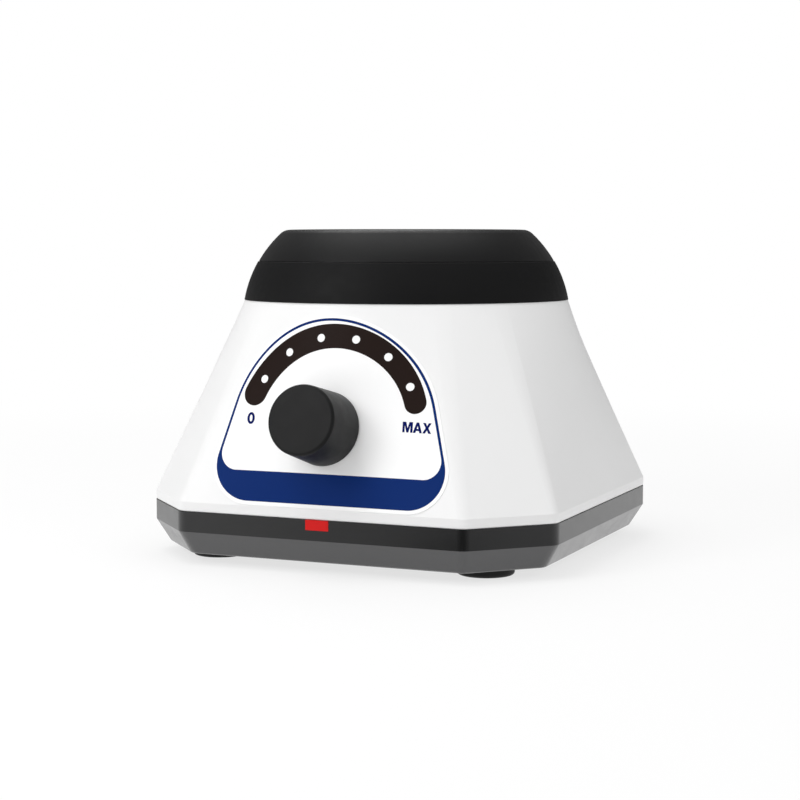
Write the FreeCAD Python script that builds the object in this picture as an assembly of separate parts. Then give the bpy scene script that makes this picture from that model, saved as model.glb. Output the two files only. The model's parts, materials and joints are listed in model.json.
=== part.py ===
import FreeCAD, Part
import math
import os

# Bench vortex mixer with an orbiting head, in millimetres, +Z up.
# The origin is on the motor axis, at the level the feet stand on, and the dial faces -Y.

# Case outline
base_width = 120.0
corner_chamfer = 18.8
corner_radius = 4.0
least_corner = 1.0
wall = 2.4
bevel_height = 6.5
bevel_inset = 3.9
bevel_edge_round = 1.0
band_height = 5.55
skirt_height = 2.65
skirt_edge_round = 0.6
slope_height = 53.6
rim_radius = 46.5
rim_blend_angle = 3.0
tray_floor = 2.5
tongue_height = 2.0
tongue_width = 1.2
tongue_root = 3.0
shell_gap = 0.15

# Feet and case screws
foot_radius = 7.7
foot_height = 2.6
foot_seat_depth = 0.8
foot_edge_round = 0.8
foot_hole_radius = 3.3
foot_inset = 20.3
case_boss_radius = 4.6
case_boss_height = 5.0
case_post_radius = 4.2
case_screw_radius = 1.5
case_screw_length = 18.0
case_head_radius = 2.9
case_head_height = 1.8

# Collar
collar_height = 10.9
collar_overhang = 0.2
collar_wall = 4.0
seam_inset = 3.8
seam_round = 0.25
spigot_depth = 3.0
deck_thickness = 2.0
collar_screw_count = 4
collar_screw_inset = 8.5
collar_post_radius = 3.2
collar_post_drop = 4.9
collar_lug_width = 9.0
collar_lug_thickness = 3.0
collar_screw_radius = 1.25
collar_screw_length = 10.0
collar_head_radius = 2.3
collar_head_height = 1.6

# Head
head_gap = 0.06
head_height = 8.94
crown_inset = 7.5
crown_round = 4.0
dish_rim_width = 8.2
dish_depth = 7.2
dish_edge_round = 1.5
head_edge_round = 0.1
carrier_flange_inset = 4.7
carrier_flange_thickness = 2.1
carrier_disc_thickness = 2.0
carrier_step_width = 2.0
carrier_boss_wall = 3.5
carrier_boss_lip = 1.8
carrier_clearance = 1.0

# Guide pins, which keep the head from turning
guide_count = 4
guide_inset = 16.5
guide_pin_radius = 2.5
guide_pin_stem_radius = 1.5
guide_pin_drop = 3.0
guide_ring_wall = 1.05
guide_ring_web = 3.35
guide_clearance = 0.1

# Orbit and head bearing
orbit_radius = 2.0
rest_phase = 113.0
pin_radius = 2.5
bearing_radius = 8.0
bearing_width = 5.0
bearing_pitch_radius = 5.25
bearing_ring_gap = 0.85
ball_count = 8
ball_radius = 1.19
ball_clearance = 0.06
cage_height = 3.2
cage_width = 0.9
retainer_width = 1.1
retainer_thickness = 1.0
bearing_screw_radius = 1.0
bearing_screw_length = 7.0
bearing_head_radius = 3.3
bearing_head_height = 1.4
bearing_head_room = 0.5

# Eccentric hub and counterweight
hub_radius = 8.0
hub_height = 4.4
hub_clearance = 0.6
hub_shoulder_radius = 3.6
hub_neck_radius = 5.5
hub_bore_cover = 1.2
set_screw_radius = 1.5
set_screw_recess = 0.2
counterweight_radius = 19.0
counterweight_thickness = 5.0
counterweight_angle = 140.0
counterweight_collar = 3.0
counterweight_clearance = 0.8

# Motor
motor_radius = 13.85
can_length = 36.0
can_wall = 1.0
can_top = 1.5
nose_radius = 5.0
nose_height = 2.0
shaft_radius = 1.5875
shaft_clearance = 0.02
bush_radius = 3.4
end_cap_height = 4.0
end_cap_spigot = 3.0
magnet_thickness = 3.2
magnet_length = 26.0
magnet_angle = 130.0
air_gap = 0.5
armature_length = 20.0
pole_count = 3
pole_width = 3.2
pole_shoe = 1.7
pole_shoe_angle = 95.0
armature_core_radius = 3.6
winding_width = 1.4
winding_gap = 0.1
commutator_radius = 3.3
commutator_length = 4.2
brush_length = 4.5
brush_width = 3.0
brush_height = 3.0
brush_clearance = 0.05
terminal_spacing = 15.0
terminal_width = 3.0
terminal_thickness = 0.6
terminal_length = 2.5
motor_screw_spacing = 16.0
motor_screw_radius = 1.25
motor_head_radius = 2.2
motor_head_height = 1.8

# Chassis
ballast_board_gap = 3.0
ballast_thickness = 8.0
ballast_corner = 6.0
motor_well_gap = 2.0
pillar_spacing = 42.0
pillar_radius = 4.0
grommet_radius = 4.6
grommet_thickness = 2.0
bracket_margin = 6.0
bracket_thickness = 2.0
bracket_corner = 5.0
pillar_screw_radius = 1.5
pillar_screw_grip = 8.0
pillar_head_radius = 2.8
pillar_head_height = 1.6

# Dial, knob and label on the front face
dial_height = 21.6
knob_front_radius = 9.4
knob_base_radius = 10.0
knob_length = 14.7
knob_gap = 0.5
knob_edge_round = 0.8
knob_recess_wall = 2.6
spot_face_depth = 0.35
spot_face_radius = 6.4
pot_radius = 8.2
pot_depth = 8.5
pot_wall = 1.0
pot_seat_extra = 1.6
pot_bush_radius = 3.5
pot_bush_reach = 3.0
pot_shaft_radius = 3.0
pot_shaft_reach = 11.0
pot_shaft_flat = 1.5
pot_clearance = 0.03
pot_wiper_thickness = 1.5
pot_block_width = 14.0
pot_block_drop = 2.8
pot_block_depth = 3.0
pot_pin_pitch = 5.0
pot_pin_length = 4.0
pot_pin_width = 2.0
pot_pin_thickness = 0.8
washer_radius = 5.5
washer_thickness = 0.5
nut_across = 10.0
nut_thickness = 2.0
label_thickness = 0.2
label_shift = 0.8
label_radius = 30.6
label_side_angle = 16.2
label_bottom = 0.6
label_corner = 11.5
label_reach = 5.0

# Indicator in the band
indicator_width = 6.65
indicator_height = 2.75
indicator_depth = 7.0
indicator_proud = 0.1
indicator_gap = 0.05
light_width = 4.8
light_height = 2.6
light_length = 5.3
light_gap = 0.2

# Control board
board_width = 54.0
board_depth = 15.0
board_thickness = 1.6
board_front_gap = 9.0
board_screw_inset = 2.5
standoff_radius = 2.6
standoff_height = 5.1
board_screw_radius = 1.0
board_screw_length = 5.0
board_head_radius = 2.0
board_head_height = 1.4
connector_depth = 4.5
connector_height = 5.0
connector_margin = 1.8
connector_pitch = 2.5
connector_rear_gap = 1.25
motor_connector_x = 8.0
inlet_connector_inset = 9.5
dial_connector_x = -8.0
capacitor_radius = 4.0
capacitor_height = 9.0
capacitor_inset = 8.5
transistor_width = 10.0
transistor_depth = 4.0
transistor_height = 14.0
transistor_inset = 13.0
transistor_front_gap = 1.5

# Power inlet on the rear face
inlet_height = 15.0
inlet_radius = 4.0
inlet_flange_radius = 5.6
inlet_flange_thickness = 1.6
inlet_length = 13.0
inlet_socket_radius = 3.15
inlet_socket_depth = 9.5
inlet_pin_radius = 1.05
inlet_pin_recess = 1.2
inlet_seat_extra = 1.2
inlet_nut_across = 11.0
inlet_nut_thickness = 2.0
inlet_tab_spacing = 2.8
inlet_tab_width = 2.0
inlet_tab_thickness = 0.6
inlet_tab_length = 3.0

# Leads
lead_radius = 0.7
lead_bend = 3.0
lead_foot_gap = 10.2
lead_side_pitch = 2.4
motor_lead_run = 19.0
motor_lead_entry = 6.0
inlet_lead_exit = 9.0
inlet_lead_entry = 8.0
dial_lead_exit = 6.0
dial_lead_rise = 4.5

# Small gap round pieces that are pushed or screwed into one another
push_gap = 0.02
# Length by which a cutting tool passes the face it cuts
overrun = 1.0
# Distance within which two levels or radii count as the same
tolerance = 1e-4

# Levels, from the floor up
tray_bottom = foot_height
floor_level = tray_bottom + tray_floor
floor_middle = tray_bottom + tray_floor / 2
bevel_top = tray_bottom + bevel_height
split_level = bevel_top + band_height
skirt_top = split_level + skirt_height
rim_level = skirt_top + slope_height
seam_level = rim_level + collar_height
head_bottom = seam_level + head_gap
head_top = head_bottom + head_height
foot_seat_level = tray_bottom + foot_seat_depth
ballast_top = floor_level + ballast_thickness

# Levels of the drive, from the head down
flange_top = head_bottom + carrier_flange_thickness
disc_bottom = head_bottom - carrier_disc_thickness
bearing_top = disc_bottom - bearing_head_height - bearing_head_room
bearing_bottom = bearing_top - bearing_width
bearing_middle = bearing_top - bearing_width / 2
boss_bottom = bearing_bottom - carrier_boss_lip
hub_top = boss_bottom - hub_clearance
hub_bottom = hub_top - hub_height
neck_bottom = hub_bottom - counterweight_thickness
bracket_top = neck_bottom - counterweight_clearance - motor_head_height
bracket_bottom = bracket_top - bracket_thickness
pillar_top = bracket_bottom - grommet_thickness
can_bottom = bracket_bottom - can_length
cap_bottom = can_bottom - end_cap_height
spigot_top = can_bottom + end_cap_spigot
can_ceiling = bracket_bottom - can_top
magnet_bottom = (spigot_top + can_ceiling - magnet_length + brush_height) / 2
armature_bottom = magnet_bottom + (magnet_length - armature_length) / 2
armature_top = armature_bottom + armature_length

# Levels of the control board and the collar's screws
board_bottom = floor_level + standoff_height
board_top = board_bottom + board_thickness
lug_top = rim_level - collar_post_drop
lug_bottom = lug_top - collar_lug_thickness
deck_bottom = seam_level - deck_thickness

# Radii of the collar and the head
collar_foot_radius = rim_radius + collar_overhang
seam_radius = rim_radius - seam_inset
crown_radius = seam_radius - crown_inset
dish_radius = crown_radius - dish_rim_width
collar_screw_circle = rim_radius - collar_screw_inset
guide_circle = rim_radius - guide_inset
guide_ring_bore = guide_pin_radius + orbit_radius + guide_clearance
guide_ring_radius = guide_ring_bore + guide_ring_wall
deck_opening = guide_circle - guide_ring_radius - guide_ring_web
carrier_flange_radius = seam_radius - carrier_flange_inset
carrier_disc_radius = deck_opening - orbit_radius - carrier_clearance
carrier_step_radius = carrier_disc_radius - carrier_step_width

# Places of the repeated pieces
foot_spacing = base_width - 2 * foot_inset
foot_places = {
    "front_left": (-foot_spacing / 2, -foot_spacing / 2),
    "front_right": (foot_spacing / 2, -foot_spacing / 2),
    "rear_left": (-foot_spacing / 2, foot_spacing / 2),
    "rear_right": (foot_spacing / 2, foot_spacing / 2),
}
pillar_places = [(x * pillar_spacing / 2, y * pillar_spacing / 2) for x in (-1, 1) for y in (-1, 1)]
motor_screw_places = [(-motor_screw_spacing / 2, 0.0), (motor_screw_spacing / 2, 0.0)]
board_front = -base_width / 2 + board_front_gap
board_rear = board_front + board_depth
ballast_width = -2 * (board_rear + ballast_board_gap)
bracket_width = pillar_spacing + 2 * bracket_margin
lead_side_x = foot_spacing / 2 - lead_foot_gap
board_screw_places = [
    (side * (board_width / 2 - board_screw_inset), y)
    for side in (-1, 1)
    for y in (board_front + board_screw_inset, board_rear - board_screw_inset)
]
inlet_connector_x = board_width / 2 - inlet_connector_inset
capacitor_x = capacitor_inset - board_width / 2
transistor_x = board_width / 2 - transistor_inset
connector_rear = board_rear - connector_rear_gap
connector_middle = connector_rear - connector_depth / 2

# The head's axis at rest, and the armature's radius inside the magnets
pin_x = orbit_radius * math.cos(math.radians(rest_phase))
pin_y = orbit_radius * math.sin(math.radians(rest_phase))
armature_radius = motor_radius - can_wall - push_gap - magnet_thickness - air_gap


def ring_places(radius, count, first_angle):
    """Evenly spaced points on a circle round the motor axis."""
    angles = [math.radians(first_angle + 360.0 * index / count) for index in range(count)]
    return [(radius * math.cos(angle), radius * math.sin(angle)) for angle in angles]


guide_places = ring_places(guide_circle, guide_count, 45.0)
collar_screw_places = ring_places(collar_screw_circle, collar_screw_count, 0.0)

# The front face leans back. Its frame has X to the right, Y up the slope and Z straight out.
lean = math.degrees(math.atan2(base_width / 2 - rim_radius, slope_height))
face_turn = FreeCAD.Rotation(FreeCAD.Vector(1, 0, 0), 90.0 - lean)
front_face = FreeCAD.Placement(FreeCAD.Vector(0, -base_width / 2, skirt_top), face_turn)
half_turn = FreeCAD.Placement(FreeCAD.Vector(), FreeCAD.Rotation(FreeCAD.Vector(0, 0, 1), 180.0))
rear_face = half_turn.multiply(front_face)
dial_frame = front_face.multiply(FreeCAD.Placement(FreeCAD.Vector(0, dial_height, 0), FreeCAD.Rotation()))
inlet_frame = rear_face.multiply(FreeCAD.Placement(FreeCAD.Vector(0, inlet_height, 0), FreeCAD.Rotation()))


# Shapes used by many pieces


def cylinder(radius, low, high, place=(0.0, 0.0)):
    return Part.makeCylinder(radius, high - low, FreeCAD.Vector(place[0], place[1], low))


def tube(outer, inner, low, high, place=(0.0, 0.0)):
    return cylinder(outer, low, high, place).cut(cylinder(inner, low - overrun, high + overrun, place))


def sector(radius, low, high, angle):
    """Slice of a cylinder, as wide as the angle, with its middle towards +X."""
    base, up = FreeCAD.Vector(0, 0, low), FreeCAD.Vector(0, 0, 1)
    return turned(Part.makeCylinder(radius, high - low, base, up, angle), -angle / 2)


def block(x_span, y_span, z_span):
    size = [span[1] - span[0] for span in (x_span, y_span, z_span)]
    return Part.makeBox(*size, FreeCAD.Vector(x_span[0], y_span[0], z_span[0]))


def fused(shapes):
    return shapes[0].multiFuse(shapes[1:]).removeSplitter()


def placed(shape, frame):
    copy = shape.copy()
    copy.Placement = frame.multiply(copy.Placement)
    return copy


def shifted(shape, x, y, z=0.0):
    return placed(shape, FreeCAD.Placement(FreeCAD.Vector(x, y, z), FreeCAD.Rotation()))


def turned(shape, angle):
    rotation = FreeCAD.Rotation(FreeCAD.Vector(0, 0, 1), angle)
    return placed(shape, FreeCAD.Placement(FreeCAD.Vector(), rotation))


def spun(start, *steps):
    """Solid of revolution about Z. A step is a point (r, z), or two points for an arc through the first."""
    here = FreeCAD.Vector(start[0], 0, start[1])
    edges = []
    for step in steps + (start,):
        if isinstance(step[0], tuple):
            middle = FreeCAD.Vector(step[0][0], 0, step[0][1])
            there = FreeCAD.Vector(step[1][0], 0, step[1][1])
            edges.append(Part.Arc(here, middle, there).toShape())
        else:
            there = FreeCAD.Vector(step[0], 0, step[1])
            edges.append(Part.LineSegment(here, there).toShape())
        here = there
    face = Part.Face(Part.Wire(edges))
    return face.revolve(FreeCAD.Vector(), FreeCAD.Vector(0, 0, 1), 360.0)


def rim_rounded(solid, radius, level, size):
    """Rounds the circular edge of a solid of revolution that lies at one radius and level."""
    on_axis = FreeCAD.Vector(0, 0, level)
    edges = [
        edge
        for edge in solid.Edges
        if not edge.Degenerated
        and isinstance(edge.Curve, Part.Circle)
        and edge.Curve.Center.isEqual(on_axis, tolerance)
        and abs(edge.Curve.Radius - radius) < tolerance
    ]
    return solid.makeFillet(size, edges)


def bottom_rounded(solid, level, size):
    """Rounds the edges of a solid's bottom face, which lies at a level."""
    edges = [edge for edge in solid.Edges if edge.BoundBox.ZMax < level + tolerance]
    return solid.makeFillet(size, edges)


def rounded_edges(corners, radius, level):
    """Edges of a closed outline with round corners: one line and one arc for each corner."""
    points = [FreeCAD.Vector(x, y, level) for x, y in corners]
    radii = radius if isinstance(radius, list) else [radius] * len(points)
    arcs = []
    for index, corner in enumerate(points):
        back = (points[index - 1] - corner).normalize()
        ahead = (points[(index + 1) % len(points)] - corner).normalize()
        half = back.getAngle(ahead) / 2
        reach = radii[index] / math.tan(half)
        sag = radii[index] / math.sin(half) - radii[index]
        inward = (back + ahead).normalize()
        arcs.append((corner + back * reach, corner + inward * sag, corner + ahead * reach))
    edges = []
    for index, (first, middle, last) in enumerate(arcs):
        edges.append(Part.LineSegment(arcs[index - 1][2], first).toShape())
        edges.append(Part.Arc(first, middle, last).toShape())
    return edges


def rounded_plate(width, depth, corner, low, high):
    x, y = width / 2, depth / 2
    outline = rounded_edges([(x, -y), (x, y), (-x, y), (-x, -y)], corner, low)
    return Part.Face(Part.Wire(outline)).extrude(FreeCAD.Vector(0, 0, high - low))


def hexagon(across, low, high):
    radius = across / math.sqrt(3)
    corners = [FreeCAD.Vector(x, y, low) for x, y in ring_places(radius, 6, 0.0)]
    outline = Part.makePolygon(corners + corners[:1])
    return Part.Face(outline).extrude(FreeCAD.Vector(0, 0, high - low))


def screws(form, seat, direction, places):
    """Pan-head screws: each head lies against the seat level, and its shank runs on up or down."""
    shank_radius, head_radius, head_height, length = form
    edge = head_height / 2
    body = spun(
        (0, length),
        (shank_radius, length),
        (shank_radius, 0),
        (head_radius, 0),
        (head_radius, -edge),
        (head_radius - edge, -head_height),
        (0, -head_height),
    )
    flip = 0.0 if direction > 0 else 180.0
    body = placed(body, FreeCAD.Placement(FreeCAD.Vector(), FreeCAD.Rotation(FreeCAD.Vector(1, 0, 0), flip)))
    return [shifted(body, place[0], place[1], seat) for place in places]


def lead(points, bend):
    """Insulated wire along straight runs joined by arcs."""
    stops = [FreeCAD.Vector(*point) for point in points]
    edges = []
    here = stops[0]
    for index in range(1, len(stops) - 1):
        corner = stops[index]
        back = (stops[index - 1] - corner).normalize()
        ahead = (stops[index + 1] - corner).normalize()
        half = back.getAngle(ahead) / 2
        reach = bend / math.tan(half)
        sag = bend / math.sin(half) - bend
        middle = corner + (back + ahead).normalize() * sag
        last = corner + ahead * reach
        edges.append(Part.LineSegment(here, corner + back * reach).toShape())
        edges.append(Part.Arc(corner + back * reach, middle, last).toShape())
        here = last
    edges.append(Part.LineSegment(here, stops[-1]).toShape())
    section = Part.Circle(stops[0], stops[1] - stops[0], lead_radius).toShape()
    return Part.Wire(edges).makePipeShell([Part.Wire([section])], True, False)


# The case's outline: a square with cut and rounded corners, which becomes a circle at the rim


def octagon(inset):
    half = base_width / 2 - inset
    flat = half - corner_chamfer + inset * (2 - math.sqrt(2))
    return [
        (half, -flat),
        (half, flat),
        (flat, half),
        (-flat, half),
        (-half, flat),
        (-half, -flat),
        (-flat, -half),
        (flat, -half),
    ]


def inset_corner(inset):
    """Corner radius of the outline after it is set in, which never closes to a sharp edge."""
    return max(corner_radius - inset, least_corner)


def case_outline(inset, level, corner):
    return Part.Wire(rounded_edges(octagon(inset), corner, level))


def case_prism(inset, low, high):
    face = Part.Face(case_outline(inset, low, inset_corner(inset)))
    return face.extrude(FreeCAD.Vector(0, 0, high - low))


def rim_arc(radius, level, first, last):
    span = (last - first) % (2 * math.pi)
    angles = [first, first + span / 2, first + span]
    points = [FreeCAD.Vector(radius * math.cos(a), radius * math.sin(a), level) for a in angles]
    return Part.Arc(*points).toShape()


def rim_outline(radius, level):
    """The rim's circle, divided as the outline below it is divided."""
    blend = math.radians(rim_blend_angle)
    corners = [math.atan2(y, x) for x, y in octagon(0)]
    edges = []
    for index, corner in enumerate(corners):
        edges.append(rim_arc(radius, level, corners[index - 1] + blend, corner - blend))
        edges.append(rim_arc(radius, level, corner - blend, corner + blend))
    return Part.Wire(edges)


def slope_solid(inset):
    """The sloping part of the case, set in by a horizontal distance."""
    low = case_outline(inset, skirt_top, inset_corner(inset))
    high = rim_outline(rim_radius - inset, rim_level)
    return Part.makeLoft([low, high], True, True)


# The collar and the head share one round profile, an arc through three points
dome_arc = Part.Arc(
    FreeCAD.Vector(collar_foot_radius, 0, rim_level),
    FreeCAD.Vector(seam_radius, 0, seam_level),
    FreeCAD.Vector(crown_radius, 0, head_top),
)
dome = dome_arc.toShape().Curve


def dome_point(level, inset=0.0):
    rise = level - dome.Center.z
    return (dome.Center.x + math.sqrt((dome.Radius - inset) ** 2 - rise ** 2), level)


# Case


def upper_housing():
    skirt = bottom_rounded(case_prism(0, split_level, skirt_top), split_level, skirt_edge_round)
    outer = skirt.fuse(slope_solid(0))
    hollow = case_prism(wall, split_level - overrun, skirt_top).fuse(slope_solid(wall))
    shell = outer.cut(hollow)
    room = outer.fuse(case_prism(wall + tongue_width + shell_gap * 2, floor_level, split_level))
    post_foot = floor_level + case_boss_height
    additions = [cylinder(case_post_radius, post_foot, lug_bottom, place) for place in foot_places.values()]
    lug_reach = (collar_screw_circle - collar_lug_width / 2, base_width / 2)
    lug_width = (-collar_lug_width / 2, collar_lug_width / 2)
    lug = block(lug_reach, lug_width, (lug_bottom, lug_top))
    additions += [turned(lug, 360.0 * index / collar_screw_count) for index in range(collar_screw_count)]
    pot_seat = wall + pot_seat_extra
    additions.append(placed(cylinder(pot_radius + wall, -pot_seat, 0), dial_frame))
    inlet_seat = wall + inlet_seat_extra
    additions.append(placed(cylinder(inlet_flange_radius + wall, -inlet_seat, 0), inlet_frame))
    shell = fused([shell] + [addition.common(room) for addition in additions])
    cuts = [
        placed(cylinder(pot_bush_radius + push_gap, -pot_seat - overrun, overrun), dial_frame),
        placed(cylinder(spot_face_radius, -spot_face_depth, overrun), dial_frame),
        placed(cylinder(inlet_radius + push_gap, -inlet_seat - overrun, overrun), inlet_frame),
        placed(cylinder(inlet_flange_radius + push_gap, -spot_face_depth, overrun), inlet_frame),
    ]
    screw_top = foot_seat_level + case_screw_length + overrun
    for place in foot_places.values():
        cuts.append(cylinder(case_screw_radius + push_gap, post_foot - overrun, screw_top, place))
    for place in collar_screw_places:
        cuts.append(cylinder(collar_screw_radius + push_gap, lug_bottom - overrun, lug_top + overrun, place))
    return shell.cut(cuts[0].multiFuse(cuts[1:]))


def base_tray():
    bevel = Part.makeLoft(
        [
            case_outline(bevel_inset, tray_bottom, corner_radius),
            case_outline(0, bevel_top, corner_radius),
        ],
        True,
        True,
    )
    bevel = bottom_rounded(bevel, tray_bottom, bevel_edge_round)
    inner_inset = wall + bevel_inset * (1 - tray_floor / bevel_height)
    hollow = Part.makeLoft(
        [
            case_outline(inner_inset, floor_level, inset_corner(wall)),
            case_outline(wall, bevel_top, inset_corner(wall)),
        ],
        True,
        True,
    )
    hollow = hollow.fuse(case_prism(wall, bevel_top, split_level + overrun))
    tray = bevel.fuse(case_prism(0, bevel_top, split_level)).cut(hollow)
    tongue_inset = wall + shell_gap
    tongue_top = split_level + tongue_height
    tongue_bottom = split_level - tongue_root
    inside = case_prism(tongue_inset + tongue_width, tongue_bottom, tongue_top)
    tongue = case_prism(tongue_inset, split_level, tongue_top).cut(inside)
    root = case_prism(wall / 2, tongue_bottom, split_level).cut(inside)
    boss_top = floor_level + case_boss_height
    bosses = [cylinder(case_boss_radius, floor_middle, boss_top, place) for place in foot_places.values()]
    standoffs = [cylinder(standoff_radius, floor_middle, board_bottom, place) for place in board_screw_places]
    tray = fused([tray, tongue, root] + bosses + standoffs)
    notch_half = indicator_width / 2 + indicator_gap
    notch_y = (-base_width / 2 - overrun, -base_width / 2 + indicator_depth)
    notch_z = (split_level - indicator_height, tongue_top + overrun)
    cuts = [block((-notch_half, notch_half), notch_y, notch_z)]
    for place in foot_places.values():
        cuts.append(cylinder(foot_radius + push_gap, tray_bottom - overrun, foot_seat_level, place))
        cuts.append(cylinder(case_screw_radius + push_gap, tray_bottom, boss_top + overrun, place))
    for place in pillar_places:
        seat = tray_bottom + pillar_head_height
        cuts.append(cylinder(pillar_head_radius + shell_gap, tray_bottom - overrun, seat, place))
        cuts.append(cylinder(pillar_screw_radius + push_gap, tray_bottom, floor_level + overrun, place))
    for place in board_screw_places:
        cuts.append(cylinder(board_screw_radius + push_gap, board_top - board_screw_length, board_top, place))
    return tray.cut(cuts[0].multiFuse(cuts[1:]))


def foot(place):
    edge = foot_edge_round
    bend = edge * (1 - math.sqrt(0.5))
    pad = spun(
        (foot_hole_radius, 0),
        (foot_radius - edge, 0),
        ((foot_radius - bend, bend), (foot_radius, edge)),
        (foot_radius, foot_seat_level),
        (foot_hole_radius, foot_seat_level),
    )
    return shifted(pad, *place)


def case_screws():
    form = (case_screw_radius, case_head_radius, case_head_height, case_screw_length)
    return screws(form, foot_seat_level, 1, foot_places.values())


def top_collar():
    spigot_radius = rim_radius - wall - shell_gap
    inner_foot = dome_point(rim_level, collar_wall)
    middle_level = (rim_level + seam_level) / 2
    inner_level = (rim_level + deck_bottom) / 2
    shell = spun(
        (inner_foot[0], rim_level - spigot_depth),
        (spigot_radius, rim_level - spigot_depth),
        (spigot_radius, rim_level),
        (collar_foot_radius, rim_level),
        (dome_point(middle_level), (seam_radius, seam_level)),
        (deck_opening, seam_level),
        (deck_opening, deck_bottom),
        dome_point(deck_bottom, collar_wall),
        (dome_point(inner_level, collar_wall), inner_foot),
    )
    shell = rim_rounded(shell, seam_radius, seam_level, seam_round)
    posts = [cylinder(collar_post_radius, lug_top, deck_bottom, place) for place in collar_screw_places]
    shell = fused([shell] + posts)
    ring_hole = guide_ring_radius + push_gap
    holes = [cylinder(ring_hole, deck_bottom - overrun, head_bottom, place) for place in guide_places]
    screw_hole = collar_screw_radius + push_gap
    screw_tip = lug_bottom + collar_screw_length
    holes += [cylinder(screw_hole, lug_top - overrun, screw_tip, place) for place in collar_screw_places]
    return shell.cut(holes[0].multiFuse(holes[1:]))


def collar_screws():
    form = (collar_screw_radius, collar_head_radius, collar_head_height, collar_screw_length)
    return screws(form, lug_bottom, 1, collar_screw_places)


def guide_rings():
    low, high = deck_bottom, seam_level
    return [tube(guide_ring_radius, guide_ring_bore, low, high, place) for place in guide_places]


# Chassis


def ballast_plate():
    plate = rounded_plate(ballast_width, ballast_width, ballast_corner, floor_level, ballast_top)
    well = cylinder(motor_radius + motor_well_gap, floor_level - overrun, ballast_top + overrun)
    holes = [
        cylinder(pillar_screw_radius + push_gap, floor_level - overrun, ballast_top + overrun, place)
        for place in pillar_places
    ]
    return plate.cut(well.multiFuse(holes))


def bracket_pillars():
    bore = pillar_screw_radius + push_gap
    pillars = []
    for place in pillar_places:
        pillar = cylinder(pillar_radius, ballast_top, pillar_top, place)
        lower_hole = cylinder(bore, ballast_top - overrun, ballast_top + pillar_screw_grip, place)
        upper_hole = cylinder(bore, pillar_top - pillar_screw_grip, pillar_top + overrun, place)
        pillars.append(pillar.cut(lower_hole).cut(upper_hole))
    return pillars


def pillar_grommets():
    bore = pillar_screw_radius + push_gap
    return [tube(grommet_radius, bore, pillar_top, bracket_bottom, place) for place in pillar_places]


def lower_pillar_screws():
    seat = tray_bottom + pillar_head_height
    length = ballast_top + pillar_screw_grip - seat
    form = (pillar_screw_radius, pillar_head_radius, pillar_head_height, length)
    return screws(form, seat, 1, pillar_places)


def upper_pillar_screws():
    length = bracket_top - pillar_top + pillar_screw_grip
    form = (pillar_screw_radius, pillar_head_radius, pillar_head_height, length)
    return screws(form, bracket_top, -1, pillar_places)


def motor_bracket():
    plate = rounded_plate(bracket_width, bracket_width, bracket_corner, bracket_bottom, bracket_top)
    low, high = bracket_bottom - overrun, bracket_top + overrun
    holes = [cylinder(nose_radius + push_gap, low, high)]
    holes += [cylinder(pillar_screw_radius + push_gap, low, high, place) for place in pillar_places]
    holes += [cylinder(motor_screw_radius + push_gap, low, high, place) for place in motor_screw_places]
    return plate.cut(holes[0].multiFuse(holes[1:]))


# Motor


def motor_can():
    can = cylinder(motor_radius, can_bottom, bracket_bottom)
    can = can.cut(cylinder(motor_radius - can_wall, can_bottom - overrun, can_ceiling))
    can = can.fuse(cylinder(nose_radius, can_ceiling, bracket_bottom + nose_height))
    low, high = can_ceiling - overrun, bracket_top + overrun
    holes = [cylinder(bush_radius + push_gap, low, high)]
    holes += [cylinder(motor_screw_radius + push_gap, low, high, place) for place in motor_screw_places]
    return can.cut(holes[0].multiFuse(holes[1:])).removeSplitter()


def motor_end_cap():
    cap = cylinder(motor_radius, cap_bottom, can_bottom)
    cap = cap.fuse(cylinder(motor_radius - can_wall - push_gap, can_bottom, spigot_top))
    bore = cylinder(bush_radius + push_gap, cap_bottom - overrun, spigot_top + overrun)
    return cap.cut(bore).removeSplitter()


def motor_front_bush():
    return tube(bush_radius, shaft_radius + shaft_clearance, can_ceiling, bracket_bottom + nose_height)


def motor_rear_bush():
    return tube(bush_radius, shaft_radius + shaft_clearance, cap_bottom, spigot_top)


def motor_magnets():
    outer = motor_radius - can_wall - push_gap
    high = magnet_bottom + magnet_length
    arc = sector(outer, magnet_bottom, high, magnet_angle)
    arc = arc.cut(cylinder(outer - magnet_thickness, magnet_bottom - overrun, high + overrun))
    return [arc, turned(arc, 180.0)]


def motor_brushes():
    first = commutator_radius + brush_clearance
    half = brush_width / 2
    brush = block((first, first + brush_length), (-half, half), (spigot_top, spigot_top + brush_height))
    return [turned(brush, 90.0), turned(brush, 270.0)]


def motor_terminals():
    half_width, half_thickness = terminal_width / 2, terminal_thickness / 2
    levels = (cap_bottom - terminal_length, cap_bottom)
    return [
        block((x - half_width, x + half_width), (-half_thickness, half_thickness), levels)
        for x in (-terminal_spacing / 2, terminal_spacing / 2)
    ]


def motor_screws():
    form = (motor_screw_radius, motor_head_radius, motor_head_height, bracket_thickness + can_top)
    return screws(form, bracket_top, -1, motor_screw_places)


# Rotor, made with the eccentric towards +X and then turned to its rest phase


def motor_shaft():
    return cylinder(shaft_radius, cap_bottom, hub_top - hub_bore_cover)


def motor_armature():
    low, high = armature_bottom, armature_top
    core = cylinder(armature_core_radius, low, high)
    shoe_inner = armature_radius - pole_shoe
    half = pole_width / 2
    shoe = sector(armature_radius, low, high, pole_shoe_angle)
    shoe = shoe.cut(cylinder(shoe_inner, low - overrun, high + overrun))
    pole = shoe.fuse(block((0, shoe_inner + pole_shoe / 2), (-half, half), (low, high)))
    poles = [turned(pole, 360.0 * index / pole_count) for index in range(pole_count)]
    stack = fused([core] + poles)
    return stack.cut(cylinder(shaft_radius + push_gap, low - overrun, high + overrun))


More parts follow.
